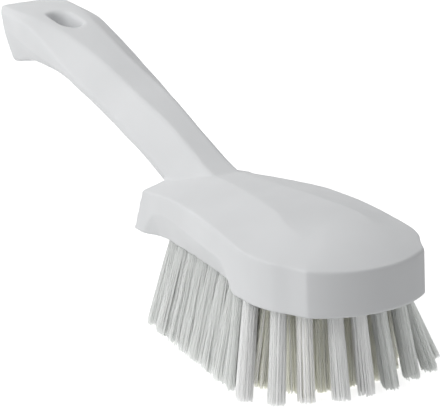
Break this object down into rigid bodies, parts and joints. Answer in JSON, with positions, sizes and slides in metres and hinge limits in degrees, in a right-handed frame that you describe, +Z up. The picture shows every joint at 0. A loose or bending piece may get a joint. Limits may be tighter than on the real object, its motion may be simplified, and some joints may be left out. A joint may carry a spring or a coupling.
{
  "type": "hand brush",
  "caption": "Hand brush with a short raised handle, a slot in its end for a wall hook, finger recesses under a broad round-toed head, and stiff splayed bristle tufts.",
  "frame": {"origin": "on the floor plane that the bristle tips stand on, under the middle of the brush's whole length and on its plane of symmetry", "axes": "+X to the toe of the head, +Z up, +Y across the head; the handle's end is at -X"},
  "size_m": [0.27, 0.0768, 0.09],
  "materials": {
    "body": "moulded white polypropylene, satin",
    "bristle": "white polyester filament, faintly translucent"
  },
  "bodies": {
    "root": {"body": "body", "tuft_01": "bristle", "tuft_02": "bristle", "tuft_03": "bristle", "tuft_04": "bristle", "tuft_05": "bristle", "tuft_06": "bristle", "tuft_07": "bristle", "tuft_08": "bristle", "tuft_09": "bristle", "tuft_10": "bristle", "tuft_11": "bristle", "tuft_12": "bristle", "tuft_13": "bristle", "tuft_14": "bristle", "tuft_15": "bristle", "tuft_16": "bristle", "tuft_17": "bristle", "tuft_18": "bristle", "tuft_19": "bristle", "tuft_20": "bristle", "tuft_21": "bristle", "tuft_22": "bristle", "tuft_23": "bristle", "tuft_24": "bristle", "tuft_25": "bristle", "tuft_26": "bristle", "tuft_27": "bristle", "tuft_28": "bristle", "tuft_29": "bristle", "tuft_30": "bristle", "tuft_31": "bristle", "tuft_32": "bristle", "tuft_33": "bristle", "tuft_34": "bristle", "tuft_35": "bristle", "tuft_36": "bristle", "tuft_37": "bristle", "tuft_38": "bristle", "tuft_39": "bristle", "tuft_40": "bristle", "tuft_41": "bristle", "tuft_42": "bristle", "tuft_43": "bristle", "tuft_44": "bristle", "tuft_45": "bristle", "tuft_46": "bristle", "tuft_47": "bristle", "tuft_48": "bristle", "tuft_49": "bristle", "tuft_50": "bristle", "tuft_51": "bristle", "tuft_52": "bristle", "tuft_53": "bristle", "tuft_54": "bristle", "tuft_55": "bristle", "tuft_56": "bristle", "tuft_57": "bristle", "tuft_58": "bristle"}
  },
  "joints": []
}
